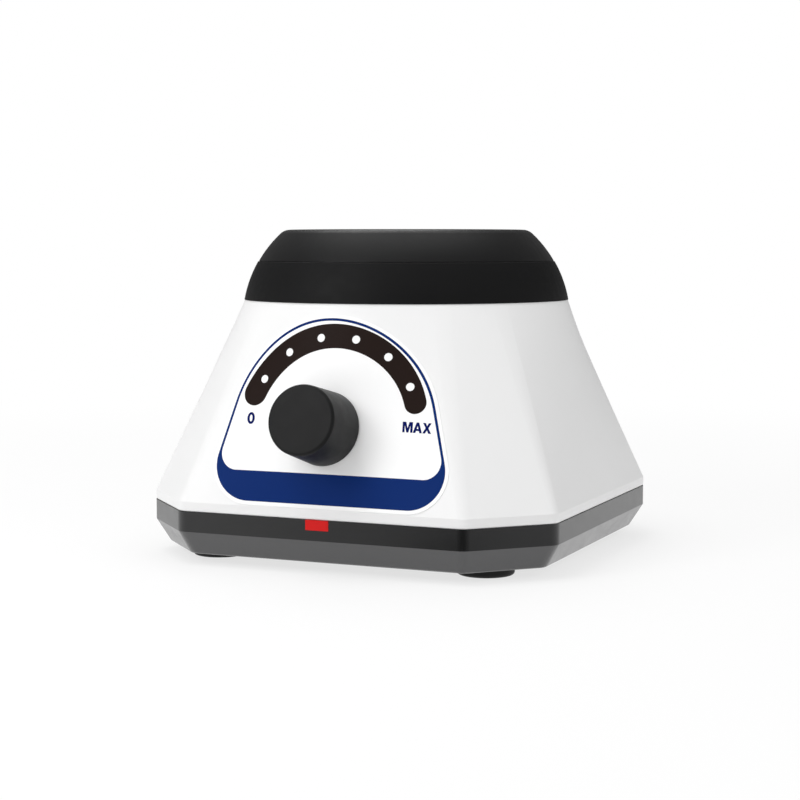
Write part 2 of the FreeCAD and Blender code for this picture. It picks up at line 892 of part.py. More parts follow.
def motor_windings():
    first = armature_core_radius + winding_gap
    last = armature_radius - pole_shoe - winding_gap
    half = pole_width / 2 + winding_gap
    outside = half + winding_width
    low, high = armature_bottom - winding_gap, armature_top + winding_gap
    coil = block((first, last), (-outside, outside), (low - winding_width, high + winding_width))
    coil = coil.cut(block((0, armature_radius), (-half, half), (low, high)))
    coil = coil.common(cylinder(last, low - winding_width, high + winding_width))
    return [turned(coil, 360.0 * index / pole_count) for index in range(pole_count)]


def commutator():
    low = spigot_top + winding_gap
    return tube(commutator_radius, shaft_radius + push_gap, low, low + commutator_length)


def eccentric_hub():
    pin_place = (orbit_radius, 0.0)
    hub = fused(
        [
            cylinder(hub_radius, hub_bottom, hub_top),
            cylinder(hub_neck_radius, neck_bottom, hub_bottom),
            cylinder(hub_shoulder_radius, hub_top, bearing_bottom, pin_place),
            cylinder(pin_radius, bearing_bottom, bearing_top, pin_place),
        ]
    )
    tip = bearing_top - bearing_screw_length
    hub = hub.cut(cylinder(bearing_screw_radius + push_gap, tip, bearing_top + overrun, pin_place))
    hub = hub.cut(cylinder(shaft_radius + push_gap, neck_bottom - overrun, hub_top - hub_bore_cover))
    grub_hole = set_screw_form(set_screw_radius + push_gap, hub_radius + overrun)
    return turned(hub.cut(grub_hole), rest_phase)


def set_screw_form(radius, reach):
    """Round bar across the hub, from the shaft's surface out to a distance from the axis."""
    level = hub_bottom + (hub_height - hub_bore_cover) / 2
    start = FreeCAD.Vector(0, shaft_radius + push_gap, level)
    return Part.makeCylinder(radius, reach - start.y, start, FreeCAD.Vector(0, 1, 0))


def hub_set_screw():
    return turned(set_screw_form(set_screw_radius, hub_radius - set_screw_recess), rest_phase)


def counterweight():
    low, high = neck_bottom, hub_bottom
    weight = turned(sector(counterweight_radius, low, high, counterweight_angle), 180.0)
    weight = weight.fuse(cylinder(hub_neck_radius + counterweight_collar, low, high))
    weight = weight.cut(cylinder(hub_neck_radius + push_gap, low - overrun, high + overrun))
    return turned(weight.removeSplitter(), rest_phase)


# Head bearing, made on its own axis and then moved to the eccentric pin


def race_groove():
    middle = FreeCAD.Vector(0, 0, bearing_middle)
    return Part.makeTorus(bearing_pitch_radius, ball_radius + ball_clearance, middle)


def bearing_inner_ring():
    outer = bearing_pitch_radius - bearing_ring_gap
    ring = tube(outer, pin_radius + push_gap, bearing_bottom, bearing_top)
    return shifted(ring.cut(race_groove()), pin_x, pin_y)


def bearing_outer_ring():
    inner = bearing_pitch_radius + bearing_ring_gap
    ring = tube(bearing_radius, inner, bearing_bottom, bearing_top)
    return shifted(ring.cut(race_groove()), pin_x, pin_y)


def bearing_balls():
    places = ring_places(bearing_pitch_radius, ball_count, 0.0)
    return [
        Part.makeSphere(ball_radius, FreeCAD.Vector(pin_x + x, pin_y + y, bearing_middle))
        for x, y in places
    ]


def bearing_cage():
    half = cage_width / 2
    low, high = bearing_middle - cage_height / 2, bearing_middle + cage_height / 2
    ring = tube(bearing_pitch_radius + half, bearing_pitch_radius - half, low, high)
    for x, y in ring_places(bearing_pitch_radius - cage_width, ball_count, 0.0):
        start, outward = FreeCAD.Vector(x, y, bearing_middle), FreeCAD.Vector(x, y, 0)
        pocket = Part.makeCylinder(ball_radius + ball_clearance, cage_width * 2, start, outward)
        ring = ring.cut(pocket)
    return shifted(ring, pin_x, pin_y)


def bearing_screw():
    form = (bearing_screw_radius, bearing_head_radius, bearing_head_height, bearing_screw_length)
    return screws(form, bearing_top, -1, [(pin_x, pin_y)])


def bearing_retainer():
    high = bearing_bottom
    ring = tube(bearing_radius - push_gap, bearing_radius - retainer_width, high - retainer_thickness, high)
    return shifted(ring, pin_x, pin_y)


# Head


def head_carrier():
    bore_top = bearing_radius - retainer_width
    boss_radius = bearing_radius + carrier_boss_wall
    carrier = spun(
        (0, disc_bottom),
        (bore_top, disc_bottom),
        (bore_top, bearing_top),
        (bearing_radius + push_gap, bearing_top),
        (bearing_radius + push_gap, boss_bottom),
        (boss_radius, boss_bottom),
        (boss_radius, disc_bottom),
        (carrier_disc_radius, disc_bottom),
        (carrier_disc_radius, head_bottom),
        (carrier_flange_radius, head_bottom),
        (carrier_flange_radius, flange_top),
        (carrier_step_radius, flange_top),
        (carrier_step_radius, head_bottom),
        (0, head_bottom),
    )
    stem = guide_pin_stem_radius + push_gap
    holes = [cylinder(stem, head_bottom - overrun, flange_top + overrun, place) for place in guide_places]
    return shifted(carrier.cut(holes[0].multiFuse(holes[1:])), pin_x, pin_y)


def guide_pins():
    pins = []
    for place in guide_places:
        pin = cylinder(guide_pin_radius, head_bottom - guide_pin_drop, head_bottom, place)
        pin = pin.fuse(cylinder(guide_pin_stem_radius, head_bottom, flange_top, place))
        pins.append(shifted(pin, pin_x, pin_y))
    return pins


def rubber_head():
    dish_bottom = head_top - dish_depth
    dish_curve = (dish_radius ** 2 + dish_depth ** 2) / (2 * dish_depth)
    middle_radius = dish_radius / 2
    middle = (middle_radius, dish_bottom + dish_curve - math.sqrt(dish_curve ** 2 - middle_radius ** 2))
    lower_edge = dome_point(head_bottom)
    cap = spun(
        (0, head_bottom),
        (carrier_step_radius - push_gap, head_bottom),
        (carrier_step_radius - push_gap, flange_top),
        (carrier_flange_radius + push_gap, flange_top),
        (carrier_flange_radius + push_gap, head_bottom),
        lower_edge,
        (dome_point((head_bottom + head_top) / 2), (crown_radius, head_top)),
        (dish_radius, head_top),
        (middle, (0, dish_bottom)),
    )
    cap = rim_rounded(cap, crown_radius, head_top, crown_round)
    cap = rim_rounded(cap, dish_radius, head_top, dish_edge_round)
    cap = rim_rounded(cap, lower_edge[0], head_bottom, head_edge_round)
    return shifted(cap, pin_x, pin_y)


# Dial: the pieces are made in the front face's frame, with Z straight out


def dial_label():
    apex = (label_shift, dial_height + label_radius / math.sin(math.radians(label_side_angle)))
    half = (apex[1] - label_bottom) * math.tan(math.radians(label_side_angle))
    corners = [(label_shift - half, label_bottom), (label_shift + half, label_bottom), apex]
    outline = rounded_edges(corners, [label_corner, label_corner, label_radius], -label_reach)
    stamp = Part.Face(Part.Wire(outline)).extrude(FreeCAD.Vector(0, 0, 2 * label_reach))
    hole_reach = label_reach + overrun
    hole = cylinder(spot_face_radius + push_gap, -hole_reach, hole_reach, (0.0, dial_height))
    stamp = placed(stamp.cut(hole), front_face)
    return stamp.common(slope_solid(-label_thickness)).cut(slope_solid(0))


def speed_pot():
    back = -wall - pot_seat_extra
    rear = back - pot_depth
    body = cylinder(pot_radius, rear, back).fuse(cylinder(pot_bush_radius, back, pot_bush_reach))
    half = pot_block_width / 2
    levels = (back - pot_block_depth, back)
    body = body.fuse(block((-half, half), (-pot_radius - pot_block_drop, 0), levels))
    body = body.cut(cylinder(pot_radius - pot_wall, rear + pot_wall, back - pot_wall))
    bore = cylinder(pot_shaft_radius + pot_clearance, back - pot_wall - overrun, pot_bush_reach + overrun)
    return placed(body.cut(bore).removeSplitter(), dial_frame)


def pot_terminals():
    level = -wall - pot_seat_extra - pot_block_depth / 2
    top = -pot_radius - pot_block_drop
    pins = []
    for index in (-1, 0, 1):
        x = index * pot_pin_pitch
        pin = block(
            (x - pot_pin_width / 2, x + pot_pin_width / 2),
            (top - pot_pin_length, top),
            (level - pot_pin_thickness / 2, level + pot_pin_thickness / 2),
        )
        pins.append(placed(pin, dial_frame))
    return pins


def shaft_form(radius, low, high, flat):
    """Round bar with a flat along one side."""
    bar = cylinder(radius, low, high)
    return bar.cut(block((-radius, radius), (flat, radius + overrun), (low - overrun, high + overrun)))


def pot_shaft():
    back = -wall - pot_seat_extra
    wiper_top = back - pot_wall - pot_clearance * 2
    wiper = cylinder(pot_radius - pot_wall - pot_seat_extra, wiper_top - pot_wiper_thickness, wiper_top)
    journal = cylinder(pot_shaft_radius, wiper_top, pot_bush_reach)
    tip = shaft_form(pot_shaft_radius, pot_bush_reach, pot_shaft_reach, pot_shaft_flat)
    return placed(fused([wiper, journal, tip]), dial_frame)


def pot_washer():
    seat = -spot_face_depth
    return placed(tube(washer_radius, pot_bush_radius + push_gap, seat, seat + washer_thickness), dial_frame)


def pot_nut():
    low = washer_thickness - spot_face_depth
    nut = hexagon(nut_across, low, low + nut_thickness)
    bore = cylinder(pot_bush_radius + push_gap, low - overrun, low + nut_thickness + overrun)
    return placed(nut.cut(bore), dial_frame)


def speed_knob():
    front = knob_gap + knob_length
    edge = knob_edge_round
    bend = edge * (1 - math.sqrt(0.5))
    recess = knob_base_radius - knob_recess_wall
    ceiling = pot_bush_reach + knob_gap
    grip = spun(
        (0, ceiling),
        (recess, ceiling),
        (recess, knob_gap),
        (knob_base_radius, knob_gap),
        (knob_front_radius, front - edge),
        ((knob_front_radius - bend, front - bend), (knob_front_radius - edge, front)),
        (0, front),
    )
    bore = shaft_form(
        pot_shaft_radius + push_gap, ceiling - overrun, pot_shaft_reach + push_gap, pot_shaft_flat + push_gap
    )
    return placed(grip.cut(bore), dial_frame)


# Indicator and control board


def indicator_lens():
    half = indicator_width / 2
    front = -base_width / 2 - indicator_proud
    levels = (split_level - indicator_height, split_level - indicator_gap)
    return block((-half, half), (front, -base_width / 2 + indicator_depth), levels)


def indicator_light():
    half = light_width / 2
    front = -base_width / 2 + indicator_depth + light_gap
    return block((-half, half), (front, front + light_length), (board_top, board_top + light_height))


def control_board():
    x_span = (-board_width / 2, board_width / 2)
    plate = block(x_span, (board_front, board_rear), (board_bottom, board_top))
    low, high = board_bottom - overrun, board_top + overrun
    holes = [cylinder(board_screw_radius + push_gap, low, high, place) for place in board_screw_places]
    return plate.cut(holes[0].multiFuse(holes[1:]))


def board_screws():
    form = (board_screw_radius, board_head_radius, board_head_height, board_screw_length)
    return screws(form, board_top, -1, board_screw_places)


def board_connectors():
    y_span = (connector_rear - connector_depth, connector_rear)
    z_span = (board_top, board_top + connector_height)
    shells = []
    for middle, ways in ((motor_connector_x, 2), (inlet_connector_x, 2), (dial_connector_x, 3)):
        half = connector_pitch * (ways - 1) / 2 + connector_margin
        shells.append(block((middle - half, middle + half), y_span, z_span))
    return shells


def board_capacitor():
    middle = (board_front + board_rear) / 2
    return cylinder(capacitor_radius, board_top, board_top + capacitor_height, (capacitor_x, middle))


def board_transistor():
    half = transistor_width / 2
    front = board_front + transistor_front_gap
    x_span = (transistor_x - half, transistor_x + half)
    y_span = (front, front + transistor_depth)
    return block(x_span, y_span, (board_top, board_top + transistor_height))


# Power inlet, made in the rear face's frame


def dc_inlet():
    front = inlet_flange_thickness - spot_face_depth
    body = cylinder(inlet_flange_radius, -spot_face_depth, front)
    rear = -spot_face_depth - inlet_length
    socket_floor = front - inlet_socket_depth
    body = body.fuse(cylinder(inlet_radius, rear, front))
    body = body.cut(cylinder(inlet_socket_radius, socket_floor, front + overrun))
    pin_hole = cylinder(inlet_pin_radius + push_gap, rear - overrun, socket_floor + overrun)
    return placed(body.cut(pin_hole).removeSplitter(), inlet_frame)


def inlet_contacts():
    """The centre pin, which runs through to its own tab, and the tab of the sleeve contact."""
    front = inlet_flange_thickness - spot_face_depth
    rear = -spot_face_depth - inlet_length
    half_width, half_thickness = inlet_tab_width / 2, inlet_tab_thickness / 2
    tab = block((-half_thickness, half_thickness), (-half_width, half_width), (rear - inlet_tab_length, rear))
    pin = cylinder(inlet_pin_radius, rear, front - inlet_pin_recess).fuse(tab)
    sleeve_tab = shifted(tab, inlet_tab_spacing, 0)
    return [placed(pin, inlet_frame), placed(sleeve_tab, inlet_frame)]


def inlet_nut():
    high = -wall - inlet_seat_extra
    nut = hexagon(inlet_nut_across, high - inlet_nut_thickness, high)
    bore = cylinder(inlet_radius + push_gap, high - inlet_nut_thickness - overrun, high + overrun)
    return placed(nut.cut(bore), inlet_frame)


# Leads


def motor_leads():
    level = cap_bottom - terminal_length / 2
    leads = []
    for side in (-1, 1):
        terminal_x = side * terminal_spacing / 2
        connector_x = motor_connector_x + side * connector_pitch / 2
        points = [
            (terminal_x, -terminal_thickness / 2, level),
            (terminal_x, connector_rear + motor_lead_run, level),
            (connector_x, connector_rear + motor_lead_entry, level),
            (connector_x, connector_rear, level),
        ]
        leads.append(lead(points, lead_bend))
    return leads


def inlet_leads():
    level = cap_bottom - terminal_length / 2
    rear = -spot_face_depth - inlet_length - inlet_tab_length
    leads = []
    for side, tab_x in ((-1, inlet_tab_spacing), (1, 0.0)):
        start = inlet_frame.multVec(FreeCAD.Vector(tab_x, 0, rear))
        after = inlet_frame.multVec(FreeCAD.Vector(tab_x, 0, rear - inlet_lead_exit))
        across = lead_side_x + side * lead_side_pitch / 2
        end_x = inlet_connector_x + side * connector_pitch / 2
        back_y = after.y - side * lead_side_pitch / 2
        front_y = connector_rear + inlet_lead_entry - side * lead_side_pitch / 2
        points = [
            tuple(start),
            tuple(after),
            (start.x, back_y, level),
            (across, back_y, level),
            (across, front_y, level),
            (end_x, front_y, level),
            (end_x, connector_rear, level),
        ]
        leads.append(lead(points, lead_bend))
    return leads


def dial_leads():
    level = -wall - pot_seat_extra - pot_block_depth / 2 - pot_pin_thickness / 2
    drop = -pot_radius - pot_block_drop - pot_pin_length / 2
    connector_top = board_top + connector_height
    leads = []
    for index in (-1, 0, 1):
        pin = FreeCAD.Vector(index * pot_pin_pitch, drop, level)
        exit_point = pin - FreeCAD.Vector(0, 0, dial_lead_exit)
        end_x = dial_connector_x + index * connector_pitch
        points = [
            tuple(dial_frame.multVec(pin)),
            tuple(dial_frame.multVec(exit_point)),
            (end_x, connector_middle, connector_top + dial_lead_rise),
            (end_x, connector_middle, connector_top),
        ]
        leads.append(lead(points, lead_bend))
    return leads


nodes = {
    "upper_housing": upper_housing(),
    "base_tray": base_tray(),
    "case_screws": case_screws(),
    "top_collar": top_collar(),
    "collar_screws": collar_screws(),
    "guide_rings": guide_rings(),
    "ballast_plate": ballast_plate(),
    "bracket_pillars": bracket_pillars(),
    "pillar_grommets": pillar_grommets(),
    "lower_pillar_screws": lower_pillar_screws(),
    "upper_pillar_screws": upper_pillar_screws(),
    "motor_bracket": motor_bracket(),
    "motor_can": motor_can(),
    "motor_end_cap": motor_end_cap(),
    "motor_front_bush": motor_front_bush(),
    "motor_rear_bush": motor_rear_bush(),
    "motor_magnets": motor_magnets(),
    "motor_brushes": motor_brushes(),
    "motor_terminals": motor_terminals(),
    "motor_screws": motor_screws(),
    "motor_shaft": motor_shaft(),
    "motor_armature": motor_armature(),
    "motor_windings": motor_windings(),
    "commutator": commutator(),
    "eccentric_hub": eccentric_hub(),
    "hub_set_screw": hub_set_screw(),
    "counterweight": counterweight(),
    "bearing_inner_ring": bearing_inner_ring(),
    "bearing_outer_ring": bearing_outer_ring(),
    "bearing_balls": bearing_balls(),
    "bearing_cage": bearing_cage(),
    "bearing_screw": bearing_screw(),
    "bearing_retainer": bearing_retainer(),
    "head_carrier": head_carrier(),
    "guide_pins": guide_pins(),
    "rubber_head": rubber_head(),
    "dial_label": dial_label(),
    "speed_pot": speed_pot(),
    "pot_terminals": pot_terminals(),
    "pot_shaft": pot_shaft(),
    "pot_washer": pot_washer(),
    "pot_nut": pot_nut(),
    "speed_knob": speed_knob(),
    "indicator_lens": indicator_lens(),
    "indicator_light": indicator_light(),
    "control_board": control_board(),
    "board_screws": board_screws(),
    "board_connectors": board_connectors(),
    "board_capacitor": board_capacitor(),
    "board_transistor": board_transistor(),
    "dc_inlet": dc_inlet(),
    "inlet_contacts": inlet_contacts(),
    "inlet_nut": inlet_nut(),
    "motor_leads": motor_leads(),
    "inlet_leads": inlet_leads(),
    "dial_leads": dial_leads(),
}
for name, place in foot_places.items():
    nodes["foot_" + name] = foot(place)

os.makedirs("parts", exist_ok=True)
for name, shape in nodes.items():
    solid = Part.makeCompound(shape) if isinstance(shape, list) else shape
    solid.exportStep("parts/" + name + ".step")
    solids = solid.Solids
    print(name, len(solids), "valid" if solid.isValid() else "INVALID", round(solid.Volume, 2))
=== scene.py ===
import json
import math

import bmesh
import bpy
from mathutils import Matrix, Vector


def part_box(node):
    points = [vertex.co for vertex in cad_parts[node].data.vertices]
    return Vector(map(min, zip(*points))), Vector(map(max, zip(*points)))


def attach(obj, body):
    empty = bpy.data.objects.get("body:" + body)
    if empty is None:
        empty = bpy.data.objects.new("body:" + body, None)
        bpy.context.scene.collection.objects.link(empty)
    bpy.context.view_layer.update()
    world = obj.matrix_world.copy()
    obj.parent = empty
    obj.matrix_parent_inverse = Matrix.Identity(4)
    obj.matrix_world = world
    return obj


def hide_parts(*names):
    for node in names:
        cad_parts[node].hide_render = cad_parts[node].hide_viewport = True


# Bench vortex mixer: its finishes, its dial print, the studio and the camera.
# Lengths are in metres and angles in degrees.

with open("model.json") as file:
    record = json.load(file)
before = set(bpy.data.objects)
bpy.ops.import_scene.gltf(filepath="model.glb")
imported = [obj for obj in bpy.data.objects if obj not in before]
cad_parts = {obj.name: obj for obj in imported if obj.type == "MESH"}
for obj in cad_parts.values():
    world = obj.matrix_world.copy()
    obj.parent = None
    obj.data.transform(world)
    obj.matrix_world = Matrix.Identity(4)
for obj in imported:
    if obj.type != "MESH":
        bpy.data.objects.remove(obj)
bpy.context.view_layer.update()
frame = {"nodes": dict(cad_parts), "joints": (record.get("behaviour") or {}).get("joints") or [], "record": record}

MM = 0.001

# Camera
camera_place = (0.206535, -0.485649, 0.087656)
camera_azimuth = 23.24
camera_drop = 5.0
camera_lens = 81.95
camera_sensor = 36.0

# Shape of the case, which sets how the front face bends and where the tray's near-black band gives way to the
# bevel painted greyer, a painted reflection of the pale floor
corner_chamfer = 18.8 * MM
corner_radius = 4.0 * MM
chamfer_angle = 45.0
rim_blend_angle = 3.0
bevel_height = 6.5 * MM
bevel_blend = 0.05 * MM

# Dial film and its print, measured from the dial's middle in the plane of the front face
film_shift = 0.95 * MM
film_drop = 0.25 * MM
film_slant = -0.062
film_thickness = 0.2 * MM
film_radius = 30.9 * MM
film_bottom = -21.0 * MM
film_corner = 11.1 * MM
film_side_angle = 14.2
film_hole_radius = 6.42 * MM
ink_thickness = 0.02 * MM
border_radius = 30.0 * MM
border_bottom = -20.0 * MM
border_corner = 10.1 * MM
panel_radius = 29.3 * MM
panel_bottom = -11.8 * MM
panel_corner = 4.8 * MM
scale_inner = 21.65 * MM
scale_inner_shift = 1.0 * MM
scale_outer = 28.25 * MM
scale_outer_shift = 0.2 * MM
scale_left_angle = 68.0
scale_right_angle = 71.2
mark_count = 6
mark_first = -58.2
mark_step = 23.7
mark_ring = 24.76 * MM
mark_shift = 0.8 * MM
mark_radius = 1.1 * MM
zero_height = 3.2 * MM
zero_place = (-22.84 * MM, 2.2 * MM)
most_height = 2.8 * MM
most_place = (25.5 * MM, 1.55 * MM)
letter_gap = 0.03

# How finely the print is cut
print_cell = 1.0 * MM
cut_tolerance = 1e-7
crease_angle = 40.0
arch_steps = 72
corner_steps = 24
band_steps = 90
band_end_steps = 20
hole_steps = 40
mark_steps = 28
digit_steps = 32
share_rounds = 4
face_rounds = 6

# The front face, from the frame
joints = {joint["name"]: joint for joint in frame["joints"]}
dial = Vector(joints["knob_turn"]["pos_m"])
outward = -Vector(joints["knob_turn"]["axis"]).normalized()
rightward = Vector((1.0, 0.0, 0.0))
upward = outward.cross(rightward)
lean_tangent = outward.z / -outward.y
base_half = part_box("base_tray")[1].x
rim_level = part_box("upper_housing")[1].z
skirt_top = dial.z - (base_half + dial.y) / lean_tangent
rim_radius = base_half - (rim_level - skirt_top) * lean_tangent
flat_half = base_half - corner_chamfer - corner_radius * math.tan(math.radians(chamfer_angle / 2))
rim_angle = math.atan2(base_half - corner_chamfer, base_half) - math.radians(rim_blend_angle)

# Studio
ambient_light = 0.64
opening_azimuth = math.radians(25.0)
opening_direction = Vector((math.sin(opening_azimuth), -math.cos(opening_azimuth), 0.0))
opening_tones = ((0.17, 1.0), (0.64, 0.65), (0.89, 0.42), (0.97, 0.1), (1.0, 0.02))
wall_tone = 0.15
ceiling_tone = 1.2
ceiling_direction = Vector((-0.13, 0.16, 0.96)).normalized()
ceiling_edge, ceiling_middle = 0.74, 0.98
floor_half = 3.0
floor_level = -0.02 * MM
floor_tone = 0.83
shadow_share = 0.28
shadow_near, shadow_far = 0.1, 0.5
mirror_near, mirror_far = 0.075, 0.1
case_middle = (0.0, 0.0, 0.05)
head_middle = (0.0, 0.0, 0.08)


# Materials


def new_material(name):
    material = bpy.data.materials.new(name)
    material.use_nodes = True
    return material, material.node_tree, material.node_tree.nodes["Principled BSDF"]


def grey(tone):
    return (tone, tone, tone)


def scaled(colour, factor):
    return tuple(min(1.0, channel * factor) for channel in colour)


def object_coordinates(tree, stretch=(1.0, 1.0, 1.0)):
    """The piece's own coordinates, drawn out along its axes."""
    place = tree.nodes.new("ShaderNodeTexCoord")
    mapping = tree.nodes.new("ShaderNodeMapping")
    mapping.inputs["Scale"].default_value = stretch
    tree.links.new(place.outputs["Object"], mapping.inputs["Vector"])
    return mapping.outputs["Vector"]


def noise(tree, vector, cell, detail=2.0):
    """Noise whose lumps are about one cell across."""
    node = tree.nodes.new("ShaderNodeTexNoise")
    node.inputs["Scale"].default_value = 1.0 / cell
    node.inputs["Detail"].default_value = detail
    tree.links.new(vector, node.inputs["Vector"])
    return node.outputs["Fac"]


def ranged(tree, value, start, end, low, high, smooth=True):
    """Carries the range from start to end to the range from low to high."""
    node = tree.nodes.new("ShaderNodeMapRange")
    node.interpolation_type = "SMOOTHSTEP" if smooth else "LINEAR"
    node.inputs["From Min"].default_value = start
    node.inputs["From Max"].default_value = end
    node.inputs["To Min"].default_value = low
    node.inputs["To Max"].default_value = high
    tree.links.new(value, node.inputs["Value"])
    return node.outputs["Result"]


def spread(tree, value, low, high):
    """Carries the middle of a noise's range to the range from low to high."""
    noise_low, noise_high = 0.3, 0.7
    return ranged(tree, value, noise_low, noise_high, low, high, smooth=False)


def tinted(tree, value, first, second):
    """Colour that runs from the first to the second as a value runs from 0 to 1."""
    node = tree.nodes.new("ShaderNodeMix")
    node.data_type = "RGBA"
    node.inputs["A"].default_value = (*first, 1.0)
    node.inputs["B"].default_value = (*second, 1.0)
    tree.links.new(value, node.inputs["Factor"])
    return node.outputs["Result"]


def roughened(tree, shader, height, depth):
    bump = tree.nodes.new("ShaderNodeBump")
    bump.inputs["Distance"].default_value = depth
    tree.links.new(height, bump.inputs["Height"])
    tree.links.new(bump.outputs["Normal"], shader.inputs["Normal"])


def finish(name, colour, roughness, tone=0.04, patch=18 * MM, grain=0.35 * MM, depth=0.004 * MM,
           stretch=(1.0, 1.0, 1.0), **sockets):
    """Surface with faint cloudy tone, uneven gloss and a fine grain. Other sockets are set as given."""
    material, tree, shader = new_material(name)
    vector = object_coordinates(tree, stretch)
    cloud = noise(tree, vector, patch, detail=3.0)
    colours = tinted(tree, cloud, scaled(colour, 1 - tone), scaled(colour, 1 + tone))
    tree.links.new(colours, shader.inputs["Base Color"])
    mottle_share, gloss_change = 1 / 6, 0.08
    mottle = noise(tree, vector, patch * mottle_share)
    gloss = spread(tree, mottle, roughness * (1 - gloss_change), roughness * (1 + gloss_change))
    tree.links.new(gloss, shader.inputs["Roughness"])
    roughened(tree, shader, noise(tree, vector, grain), depth)
    for socket, value in sockets.items():
        shader.inputs[socket.replace("_", " ")].default_value = value
    return material


def brushed(name, colour, roughness, stretch=(1.0, 1.0, 0.04), grain=0.25 * MM):
    """Bare metal with fine marks that run one way."""
    return finish(name, colour, roughness, tone=0.1, patch=6 * MM, grain=grain, depth=0.003 * MM,
                  stretch=stretch, Metallic=1.0)


def wound(name, colour, roughness, wire):
    """Enamelled wire laid side by side, with painted shade darkening the grooves between turns."""
    material, tree, shader = new_material(name)
    wave = tree.nodes.new("ShaderNodeTexWave")
    wave.bands_direction = "Z"
    wave.inputs["Scale"].default_value = 1.0 / (wire * math.tau)
    wave.inputs["Distortion"].default_value = 0.4
    tree.links.new(object_coordinates(tree), wave.inputs["Vector"])
    # Painted shade: the colour drops to half where the bump sinks into the grooves between turns.
    colours = tinted(tree, wave.outputs["Fac"], scaled(colour, 0.5), colour)
    tree.links.new(colours, shader.inputs["Base Color"])
    roughened(tree, shader, wave.outputs["Fac"], wire / 4)
    shader.inputs["Roughness"].default_value = roughness
    shader.inputs["Metallic"].default_value = 1.0
    return material


def circuit_board():
    """Green lacquer over copper tracks."""
    material, tree, shader = new_material("circuit_board")
    track_pitch = 6 * MM
    track = tree.nodes.new("ShaderNodeTexBrick")
    track.inputs["Scale"].default_value = 1.0 / track_pitch
    track.inputs["Color1"].default_value = (0.02, 0.16, 0.06, 1.0)
    track.inputs["Color2"].default_value = (0.025, 0.2, 0.075, 1.0)
    track.inputs["Mortar"].default_value = (0.05, 0.3, 0.12, 1.0)
    vector = object_coordinates(tree)
    tree.links.new(vector, track.inputs["Vector"])
    tree.links.new(track.outputs["Color"], shader.inputs["Base Color"])
    roughened(tree, shader, track.outputs["Fac"], 0.03 * MM)
    gloss = spread(tree, noise(tree, vector, 3 * MM), 0.28, 0.36)
    tree.links.new(gloss, shader.inputs["Roughness"])
    return material


def tray_plastic():
    """Semi-gloss charcoal plastic: the upright band is nearly black, and the bevel below it is painted greyer, a
    painted reflection of the pale floor it faces.
    """
    material, tree, shader = new_material("dark_tray")
    vector = object_coordinates(tree)
    split = tree.nodes.new("ShaderNodeSeparateXYZ")
    tree.links.new(vector, split.inputs["Vector"])
    bevel_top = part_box("base_tray")[0].z + bevel_height
    edges = (bevel_top - bevel_blend, bevel_top + bevel_blend)
    above = ranged(tree, split.outputs["Z"], *edges, 0.0, 1.0, smooth=False)
    # Painted reflection: the bevel's greyer colour stands in for the pale floor that the downward-facing bevel
    # reflects.
    colours = tinted(tree, above, (0.05, 0.05, 0.052), (0.009, 0.009, 0.0095))
    tree.links.new(colours, shader.inputs["Base Color"])
    gloss = spread(tree, noise(tree, vector, 4 * MM), 0.2, 0.26)
    tree.links.new(gloss, shader.inputs["Roughness"])
    roughened(tree, shader, noise(tree, vector, 0.4 * MM), 0.0015 * MM)
    shader.inputs["IOR"].default_value = 1.65
    return material


def steel_finishes():
    settings = {
        "zinc_steel": {"colour": (0.58, 0.58, 0.56), "roughness": 0.34},
        "bracket_steel": {"colour": grey(0.5), "roughness": 0.36, "stretch": (0.04, 1.0, 1.0)},
        "can_steel": {"colour": (0.55, 0.55, 0.54), "roughness": 0.3},
        "shaft_steel": {"colour": grey(0.58), "roughness": 0.24, "stretch": (1.0, 1.0, 8.0)},
        "counterweight_steel": {"colour": grey(0.42), "roughness": 0.38, "stretch": (0.05, 1.0, 1.0)},
        "bearing_steel": {"colour": grey(0.62), "roughness": 0.12, "grain": 0.1 * MM},
        "lamination": {"colour": grey(0.3), "roughness": 0.45, "stretch": (0.05, 0.05, 1.0)},
        "pillar_metal": {"colour": grey(0.7), "roughness": 0.3, "stretch": (0.05, 0.05, 1.0)},
        "pot_spindle": {"colour": grey(0.65), "roughness": 0.3, "stretch": (0.05, 0.05, 1.0)},
        "brass": {"colour": (0.62, 0.46, 0.2), "roughness": 0.3},
    }
    return {name: brushed(name, **setting) for name, setting in settings.items()}


def plastic_finishes():
    settings = {
        "white_shell": {"colour": grey(0.83), "roughness": 0.42, "tone": 0.008, "depth": 0.003 * MM},
        "black_collar": {"colour": (0.0085, 0.0085, 0.0088), "roughness": 0.55, "tone": 0.1,
                         "depth": 0.006 * MM, "Specular_IOR_Level": 0.14},
        "knob_plastic": {"colour": (0.012, 0.012, 0.0123), "roughness": 0.45, "tone": 0.06,
                         "depth": 0.006 * MM, "Specular_IOR_Level": 0.18},
        "label_film": {"colour": grey(0.93), "roughness": 0.36, "tone": 0.005, "grain": 0.8 * MM,
                       "depth": 0.001 * MM},
        "red_lens": {"colour": (0.64, 0.012, 0.012), "roughness": 0.3, "patch": 3 * MM,
                     "depth": 0.0005 * MM, "Specular_IOR_Level": 0.15},
        "light_body": {"colour": (0.5, 0.05, 0.05), "roughness": 0.25, "patch": 2 * MM,
                       "Transmission_Weight": 0.4},
        "motor_plastic": {"colour": grey(0.03), "roughness": 0.5},
        "carrier_plastic": {"colour": grey(0.1), "roughness": 0.5, "tone": 0.08},
        "guide_plastic": {"colour": (0.75, 0.74, 0.7), "roughness": 0.45},
        "pot_body": {"colour": (0.05, 0.06, 0.09), "roughness": 0.45},
        "inlet_plastic": {"colour": (0.018, 0.018, 0.0185), "roughness": 0.42, "tone": 0.08},
        "component_black": {"colour": (0.02, 0.02, 0.025), "roughness": 0.35},
        "lead_insulation": {"colour": (0.35, 0.03, 0.03), "roughness": 0.4, "patch": 4 * MM},
    }
    return {name: finish(name, **setting) for name, setting in settings.items()}


